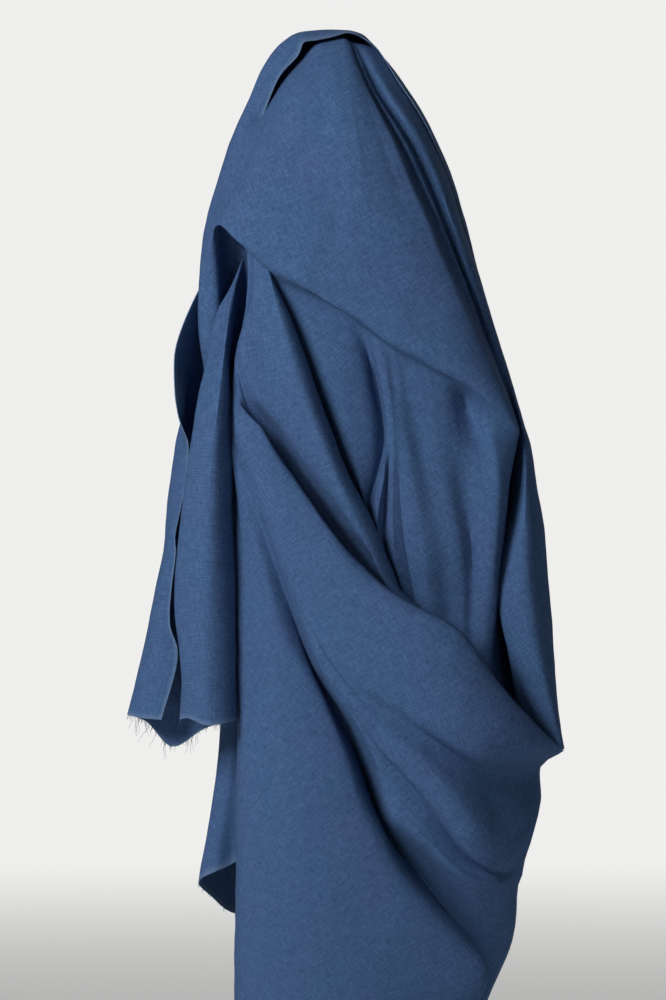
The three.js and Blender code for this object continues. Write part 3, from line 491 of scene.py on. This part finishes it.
def addCrumple(grid, seed):
    # washed linen is never quite smooth: two sizes of soft unevenness along the surface normal
    normals = gridNormals(grid)
    offset = Vector((seed * 3.7, seed * 1.3, seed * 5.1))
    push = np.zeros(grid.shape[:2])
    for row in range(grid.shape[0]):
        for column in range(grid.shape[1]):
            spot = Vector(grid[row, column])
            wide = noise.noise(spot / cloth["crumpleSize"] + offset)
            fine = noise.noise(spot / cloth["fineSize"] - offset)
            push[row, column] = wide * cloth["crumple"] + fine * cloth["fineCrumple"]
    return grid + normals * push[..., None]


def edgeMask(name, shape):
    # 1 along the free raw edges, so the cut shows paler there
    mask = np.zeros(shape)
    mask[-1, :] = 1.0
    if name == "hood":
        mask[0, :] = mask[:, 0] = 1.0
    if name == "tail":
        mask[:, 0] = 1.0
    return mask


def makeSheet(name, grid):
    rows, columns = grid.shape[:2]
    faces = [(r * columns + c, r * columns + c + 1, (r + 1) * columns + c + 1, (r + 1) * columns + c)
             for r in range(rows - 1) for c in range(columns - 1)]
    mesh = bpy.data.meshes.new(name)
    mesh.from_pydata([tuple(p) for p in grid.reshape(-1, 3)], [], faces)
    edge = mesh.attributes.new("edge", "FLOAT", "POINT")
    edge.data.foreach_set("value", edgeMask(name, (rows, columns)).ravel())
    mesh.uv_layers.new(name="weave")
    piece = bpy.data.objects.new(name, mesh)
    scene.collection.objects.link(piece)
    return piece


def layFlat(piece, down, turn, shift):
    # the sheet is unrolled, so that the weave keeps its size over every fold, then set to metres
    bpy.ops.object.select_all(action="DESELECT")
    piece.select_set(True)
    bpy.context.view_layer.objects.active = piece
    bpy.ops.object.mode_set(mode="EDIT")
    bpy.ops.mesh.select_all(action="SELECT")
    bpy.ops.uv.unwrap(method="ANGLE_BASED", margin=0.0)
    bpy.ops.object.mode_set(mode="OBJECT")
    mesh = piece.data
    count = len(mesh.loops)
    uv = np.empty(count * 2)
    mesh.uv_layers["weave"].uv.foreach_get("vector", uv)
    uv = uv.reshape(-1, 2)
    loopPoint = np.empty(count, int)
    mesh.loops.foreach_get("vertex_index", loopPoint)
    perPoint = np.zeros((len(mesh.vertices), 2))
    perPoint[loopPoint] = uv
    quads = loopPoint.reshape(-1, 4)
    diagonalA = perPoint[quads[:, 2]] - perPoint[quads[:, 0]]
    diagonalB = perPoint[quads[:, 3]] - perPoint[quads[:, 1]]
    flatArea = np.abs(diagonalA[:, 0] * diagonalB[:, 1] - diagonalA[:, 1] * diagonalB[:, 0]).sum() / 2
    realArea = sum(face.area for face in mesh.polygons)
    size = math.sqrt(realArea / flatArea)
    fromPoint, toPoint = down
    run = perPoint[toPoint] - perPoint[fromPoint]
    angle = -math.pi / 2 + turn - math.atan2(run[1], run[0])
    turnBy = np.array([[math.cos(angle), math.sin(angle)], [-math.sin(angle), math.cos(angle)]])
    uv = (uv @ turnBy) * size + shift
    mesh.uv_layers["weave"].uv.foreach_set("vector", uv.ravel())
    return realArea


def thicken(piece):
    bpy.ops.object.select_all(action="DESELECT")
    piece.select_set(True)
    bpy.context.view_layer.objects.active = piece
    wall = piece.modifiers.new("wall", "SOLIDIFY")
    wall.thickness = cloth["thickness"]
    wall.offset = 0.0
    bpy.ops.object.modifier_apply(modifier="wall")
    bpy.ops.object.mode_set(mode="EDIT")
    bpy.ops.mesh.select_all(action="SELECT")
    bpy.ops.mesh.normals_make_consistent(inside=False)
    bpy.ops.object.mode_set(mode="OBJECT")
    bpy.ops.object.shade_smooth_by_angle(angle=math.radians(50))


def mathNode(tree, operation, first, second=None, clamp=False):
    node = tree.nodes.new("ShaderNodeMath")
    node.operation = operation
    node.use_clamp = clamp
    for socket, value in zip(node.inputs, (first, second)):
        if value is None:
            continue
        if isinstance(value, (int, float)):
            socket.default_value = value
        else:
            tree.links.new(value, socket)
    return node.outputs[0]


def mixColor(tree, share, first, second):
    node = tree.nodes.new("ShaderNodeMix")
    node.data_type = "RGBA"
    node.blend_type = "MIX"
    for socket, value in ((node.inputs[0], share), (node.inputs[6], first), (node.inputs[7], second)):
        if isinstance(value, (int, float, tuple)):
            socket.default_value = value
        else:
            tree.links.new(value, socket)
    return node.outputs[2]


def streaks(tree, place, scaleU, scaleV, detail=2.0):
    # noise drawn out along the yarns
    stretch = tree.nodes.new("ShaderNodeMapping")
    stretch.inputs["Scale"].default_value = (scaleU, scaleV, 1.0)
    tree.links.new(place, stretch.inputs["Vector"])
    texture = tree.nodes.new("ShaderNodeTexNoise")
    texture.inputs["Scale"].default_value = 1.0
    texture.inputs["Detail"].default_value = detail
    tree.links.new(stretch.outputs[0], texture.inputs["Vector"])
    return texture.outputs[0]


def linenYarnGroup():
    # plain weave of slubby yarns on a UV map in metres
    group = bpy.data.node_groups.new("linenYarn", "ShaderNodeTree")
    for label, kind, value in (("Place", "NodeSocketVector", None), ("Yarn Size", "NodeSocketFloat", 0.0009),
                               ("Slub", "NodeSocketFloat", 1.0)):
        socket = group.interface.new_socket(name=label, in_out="INPUT", socket_type=kind)
        if value is not None:
            socket.default_value = value
    for label in ("Shade", "Height", "Wash"):
        group.interface.new_socket(name=label, in_out="OUTPUT", socket_type="NodeSocketFloat")
    inside = group.nodes.new("NodeGroupInput")
    outside = group.nodes.new("NodeGroupOutput")
    place = inside.outputs["Place"]
    parts = group.nodes.new("ShaderNodeSeparateXYZ")
    group.links.new(place, parts.inputs[0])
    wander = streaks(group, place, 70, 70, 1.0)
    drift = mathNode(group, "MULTIPLY", mathNode(group, "SUBTRACT", wander, 0.5), 0.004)
    cycle = mathNode(group, "DIVIDE", math.pi, inside.outputs["Yarn Size"])
    waves = [mathNode(group, "SINE", mathNode(group, "MULTIPLY", mathNode(group, "ADD", axis, drift), cycle))
             for axis in (parts.outputs[0], parts.outputs[1])]
    over = mathNode(group, "GREATER_THAN", mathNode(group, "MULTIPLY", waves[0], waves[1]), 0.0)
    warp = mathNode(group, "ABSOLUTE", waves[0])
    weft = mathNode(group, "ABSOLUTE", waves[1])
    crown = mathNode(group, "ADD", mathNode(group, "MULTIPLY", warp, over),
                     mathNode(group, "MULTIPLY", weft, mathNode(group, "SUBTRACT", 1.0, over)))
    slubs = [streaks(group, place, 190, 1150), streaks(group, place, 1150, 210),
             streaks(group, place, 60, 700), streaks(group, place, 700, 70)]
    total = slubs[0]
    for slub in slubs[1:]:
        total = mathNode(group, "ADD", total, slub)
    slub = mathNode(group, "MULTIPLY", mathNode(group, "SUBTRACT", total, 2.0), inside.outputs["Slub"])
    shade = mathNode(group, "ADD", mathNode(group, "MULTIPLY", slub, linenLook["slubShade"]),
                     mathNode(group, "MULTIPLY", mathNode(group, "SUBTRACT", crown, linenLook["crownMean"]),
                              linenLook["crownShade"]))
    group.links.new(mathNode(group, "ADD", shade, 0.5, clamp=True), outside.inputs["Shade"])
    height = mathNode(group, "ADD", crown, mathNode(group, "MULTIPLY", slub, linenLook["slubHeight"]))
    group.links.new(height, outside.inputs["Height"])
    group.links.new(streaks(group, place, 17, 13, 3.0), outside.inputs["Wash"])
    return group


linenLook = {
    "deep": (0.020, 0.045, 0.105, 1),
    "mid": (0.047, 0.104, 0.230, 1),
    "pale": (0.100, 0.184, 0.345, 1),
    "violet": (0.055, 0.097, 0.230, 1),
    "rawEdge": (0.185, 0.270, 0.400, 1),
    "yarn": 0.00092,
    "bump": 0.55,
    "bumpDepth": 0.0004,
    "roughness": 0.92,
    "specular": 0.1,
    "washFrom": 0.38,
    "washGain": 3.2,
    "slubShade": 0.55,
    "slubHeight": 0.9,
    "crownMean": 0.64,
    "crownShade": 0.55,
}


def linenMaterial(name, group, slub, edgeShare):
    material = bpy.data.materials.new(name)
    material.use_nodes = True
    tree = material.node_tree
    shader = tree.nodes["Principled BSDF"]
    uv = tree.nodes.new("ShaderNodeUVMap")
    uv.uv_map = "weave"
    weave = tree.nodes.new("ShaderNodeGroup")
    weave.node_tree = group
    weave.inputs["Yarn Size"].default_value = linenLook["yarn"]
    weave.inputs["Slub"].default_value = slub
    tree.links.new(uv.outputs[0], weave.inputs["Place"])
    shade = weave.outputs["Shade"]
    dark = mathNode(tree, "MULTIPLY", shade, 2.0, clamp=True)
    light = mathNode(tree, "SUBTRACT", mathNode(tree, "MULTIPLY", shade, 2.0), 1.0, clamp=True)
    washed = mathNode(tree, "SUBTRACT", weave.outputs["Wash"], linenLook["washFrom"])
    wash = mathNode(tree, "MULTIPLY", washed, linenLook["washGain"], clamp=True)
    body = mixColor(tree, wash, linenLook["mid"], linenLook["violet"])
    color = mixColor(tree, light, mixColor(tree, dark, linenLook["deep"], body), linenLook["pale"])
    edge = tree.nodes.new("ShaderNodeAttribute")
    edge.attribute_name = "edge"
    raw = mathNode(tree, "MULTIPLY", edge.outputs["Fac"], edgeShare)
    color = mixColor(tree, raw, color, linenLook["rawEdge"])
    tree.links.new(color, shader.inputs["Base Color"])
    bump = tree.nodes.new("ShaderNodeBump")
    bump.inputs["Strength"].default_value = linenLook["bump"]
    bump.inputs["Distance"].default_value = linenLook["bumpDepth"]
    tree.links.new(weave.outputs["Height"], bump.inputs["Height"])
    tree.links.new(bump.outputs[0], shader.inputs["Normal"])
    shader.inputs["Roughness"].default_value = linenLook["roughness"]
    shader.inputs["Specular IOR Level"].default_value = linenLook["specular"]
    shader.inputs["Sheen Weight"].default_value = 0.0
    return material


yarnGroup = linenYarnGroup()
clothMaterial = linenMaterial("linenCloth", yarnGroup, 1.0, 0.4)
threadMaterial = linenMaterial("linenThread", yarnGroup, 0.5, 0.0)

sheets = []
grids = {}
flatArea = 0.0
for number, (name, folds, rows, outward, grain) in enumerate((
        ("hood", hoodFolds, cloth["hoodRows"], -1, 0.12),
        ("swag", swagFolds, cloth["swagRows"], 1, -0.25),
        ("tail", tailFolds, cloth["tailRows"], 1, 0.02))):
    grid = addCrumple(addCreases(name, sheetGrid(folds, rows), outward), number + 1)
    grids[name] = grid
    sheet = makeSheet(name, grid)
    columns = grid.shape[1]
    middle = columns // 2 if name != "hood" else int(columns * 0.72)
    down = (int(grid.shape[0] * 0.2) * columns + middle, int(grid.shape[0] * 0.45) * columns + middle)
    flatArea += layFlat(sheet, down, grain, (number * 2.0, 0.0))
    thicken(sheet)
    sheets.append(sheet)
    print("sheet", name, grid.shape[:2], "area so far", round(flatArea, 3))

bpy.ops.object.select_all(action="DESELECT")
for sheet in sheets:
    sheet.select_set(True)
bpy.context.view_layer.objects.active = sheets[0]
bpy.ops.object.join()
linen = sheets[0]
linen.name = "linenCloth"
linen.data.materials.clear()
linen.data.materials.append(clothMaterial)
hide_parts("linen_cloth")
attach(linen, "root")
print("cloth joined", len(linen.data.polygons), "faces")

# loose yarns along the frayed hems: from and to are shares of the hem, how many yarns, their length
fray = {
    "hems": [
        {"sheet": "tail", "row": -1, "from": 0.0, "to": 1.0, "count": 150, "length": (2, 9)},
        {"sheet": "tail", "row": -1, "from": 0.02, "to": 0.55, "count": 16, "length": (12, 26)},
        {"sheet": "swag", "row": -1, "from": 0.80, "to": 1.0, "count": 60, "length": (2, 7)},
        {"sheet": "swag", "row": -1, "from": 0.90, "to": 1.0, "count": 5, "length": (14, 40)},
        {"sheet": "hood", "row": -1, "from": 0.0, "to": 0.55, "count": 150, "length": (2, 6)},
    ],
    "radius": 0.22 * mm,
    "sides": 5,
    "steps": 7,
    "curl": 0.35,
    "sag": 0.22,
    "rootInside": 1.5 * mm,
    "taper": 0.55,
    "seed": 11,
}


def threadPath(start, outward, length, chance):
    # a yarn leaves the hem, bends over and hangs, with a lazy curl
    points = [start - outward * fray["rootInside"]]
    heading = outward + Vector([chance.uniform(-0.5, 0.5) for axis in range(3)])
    for step in range(fray["steps"]):
        heading = heading + Vector([chance.uniform(-1, 1) for axis in range(3)]) * fray["curl"]
        heading = (heading + Vector((0, 0, -fray["sag"]))).normalized()
        points.append(points[-1] + heading * (length / fray["steps"]))
    return points


def threadTube(points, verts, faces):
    base = len(verts)
    sides = fray["sides"]
    for k, point in enumerate(points):
        ahead = (points[min(k + 1, len(points) - 1)] - points[max(k - 1, 0)]).normalized()
        side = ahead.orthogonal().normalized()
        other = ahead.cross(side)
        radius = fray["radius"] * (1 - fray["taper"] * k / (len(points) - 1))
        for turn in range(sides):
            angle = 2 * math.pi * turn / sides
            verts.append(point + (side * math.cos(angle) + other * math.sin(angle)) * radius)
    for k in range(len(points) - 1):
        for turn in range(sides):
            a = base + k * sides + turn
            b = base + k * sides + (turn + 1) % sides
            faces.append((a, b, b + sides, a + sides))
    faces.append(tuple(base + turn for turn in reversed(range(sides))))
    faces.append(tuple(base + (len(points) - 1) * sides + turn for turn in range(sides)))


chance = random.Random(fray["seed"])
verts = []
faces = []
for hem in fray["hems"]:
    edge = grids[hem["sheet"]][hem["row"]]
    inner = grids[hem["sheet"]][hem["row"] - 3]
    last = len(edge) - 1
    for number in range(hem["count"]):
        spot = chance.uniform(hem["from"], hem["to"]) * last
        k = min(int(spot), last - 1)
        start = Vector(edge[k]).lerp(Vector(edge[k + 1]), spot - k)
        outward = (start - Vector(inner[k])).normalized()
        path = threadPath(start, outward, chance.uniform(*hem["length"]) * mm, chance)
        threadTube(path, verts, faces)
mesh = bpy.data.meshes.new("frayedThreads")
mesh.from_pydata([tuple(v) for v in verts], [], faces)
mesh.uv_layers.new(name="weave")
threads = bpy.data.objects.new("frayedThreads", mesh)
scene.collection.objects.link(threads)
threads.data.materials.append(threadMaterial)
bpy.ops.object.select_all(action="DESELECT")
threads.select_set(True)
bpy.context.view_layer.objects.active = threads
bpy.ops.object.mode_set(mode="EDIT")
bpy.ops.mesh.select_all(action="SELECT")
bpy.ops.mesh.normals_make_consistent(inside=False)
bpy.ops.object.mode_set(mode="OBJECT")
bpy.ops.object.shade_smooth()
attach(threads, "root")
print("threads", len(faces), "faces")

stage = {
    "floor": -1.16,
    "half": 7.2,
    "pale": (0.80, 0.80, 0.79, 1),
    "backdrop": (0.86, 0.86, 0.85, 1),
    "fadeFrom": 1.7,
    "fadeTo": 4.2,
}
bpy.ops.mesh.primitive_plane_add(size=stage["half"] * 2, location=(0, 0, stage["floor"]))
floor = bpy.context.active_object
floor.name = "floor"
floorMaterial = bpy.data.materials.new("paleFloor")
floorMaterial.use_nodes = True
tree = floorMaterial.node_tree
lit = tree.nodes["Principled BSDF"]
lit.inputs["Base Color"].default_value = stage["pale"]
lit.inputs["Roughness"].default_value = 0.9
# well behind the cloth the floor runs into the backdrop, nearer it stays lit and keeps the shadow
place = tree.nodes.new("ShaderNodeNewGeometry")
away = tree.nodes.new("ShaderNodeVectorMath")
away.operation = "LENGTH"
tree.links.new(place.outputs["Position"], away.inputs[0])
fade = tree.nodes.new("ShaderNodeMapRange")
fade.interpolation_type = "SMOOTHSTEP"
fade.inputs["From Min"].default_value = stage["fadeFrom"]
fade.inputs["From Max"].default_value = stage["fadeTo"]
tree.links.new(away.outputs["Value"], fade.inputs["Value"])
rays = tree.nodes.new("ShaderNodeLightPath")
shown = mathNode(tree, "MULTIPLY", fade.outputs["Result"], rays.outputs["Is Camera Ray"])
plain = tree.nodes.new("ShaderNodeEmission")
plain.inputs["Color"].default_value = stage["backdrop"]
blend = tree.nodes.new("ShaderNodeMixShader")
tree.links.new(shown, blend.inputs[0])
tree.links.new(lit.outputs[0], blend.inputs[1])
tree.links.new(plain.outputs[0], blend.inputs[2])
tree.links.new(blend.outputs[0], tree.nodes["Material Output"].inputs[0])
floor.data.materials.append(floorMaterial)

light = {
    "key": {"at": (-1.7, -2.15, 0.8), "size": 1.1, "power": 84},
    "fill": {"at": (2.0, -1.9, 0.0), "size": 1.8, "power": 3.5},
    "back": {"at": (0.3, 2.6, 1.6), "size": 2.4, "power": 40},
    "world": 0.06,
    "aim": (0, 0, -0.45),
}


def areaLamp(name, at, size, power):
    lamp = bpy.data.lights.new(name, "AREA")
    lamp.size = size
    lamp.energy = power
    holder = bpy.data.objects.new(name, lamp)
    holder.location = at
    holder.rotation_mode = "QUATERNION"
    holder.rotation_quaternion = (Vector(light["aim"]) - Vector(at)).to_track_quat("-Z", "Y")
    scene.collection.objects.link(holder)


for name in ("key", "fill", "back"):
    areaLamp(name, light[name]["at"], light[name]["size"], light[name]["power"])

world = bpy.data.worlds.new("studio")
scene.world = world
world.use_nodes = True
tree = world.node_tree
ambient = tree.nodes["Background"]
ambient.inputs["Color"].default_value = (1, 1, 1, 1)
ambient.inputs["Strength"].default_value = light["world"]
seen = tree.nodes.new("ShaderNodeBackground")
seen.inputs["Color"].default_value = stage["backdrop"]
rays = tree.nodes.new("ShaderNodeLightPath")
choose = tree.nodes.new("ShaderNodeMixShader")
tree.links.new(rays.outputs["Is Camera Ray"], choose.inputs[0])
tree.links.new(ambient.outputs[0], choose.inputs[1])
tree.links.new(seen.outputs[0], choose.inputs[2])
tree.links.new(choose.outputs[0], tree.nodes["World Output"].inputs[0])

view = {"aim": (-0.007, 0, -0.464), "lens": 220, "distance": 6.112, "tilt": math.radians(1.5)}
camera = bpy.data.cameras.new("camera")
camera.lens = view["lens"]
cameraHolder = bpy.data.objects.new("camera", camera)
back = Vector((0, -math.cos(view["tilt"]), math.sin(view["tilt"])))
cameraHolder.location = Vector(view["aim"]) + back * view["distance"]
cameraHolder.rotation_mode = "QUATERNION"
cameraHolder.rotation_quaternion = (-back).to_track_quat("-Z", "Y")
scene.collection.objects.link(cameraHolder)
scene.camera = cameraHolder

scene.view_settings.view_transform = "Standard"
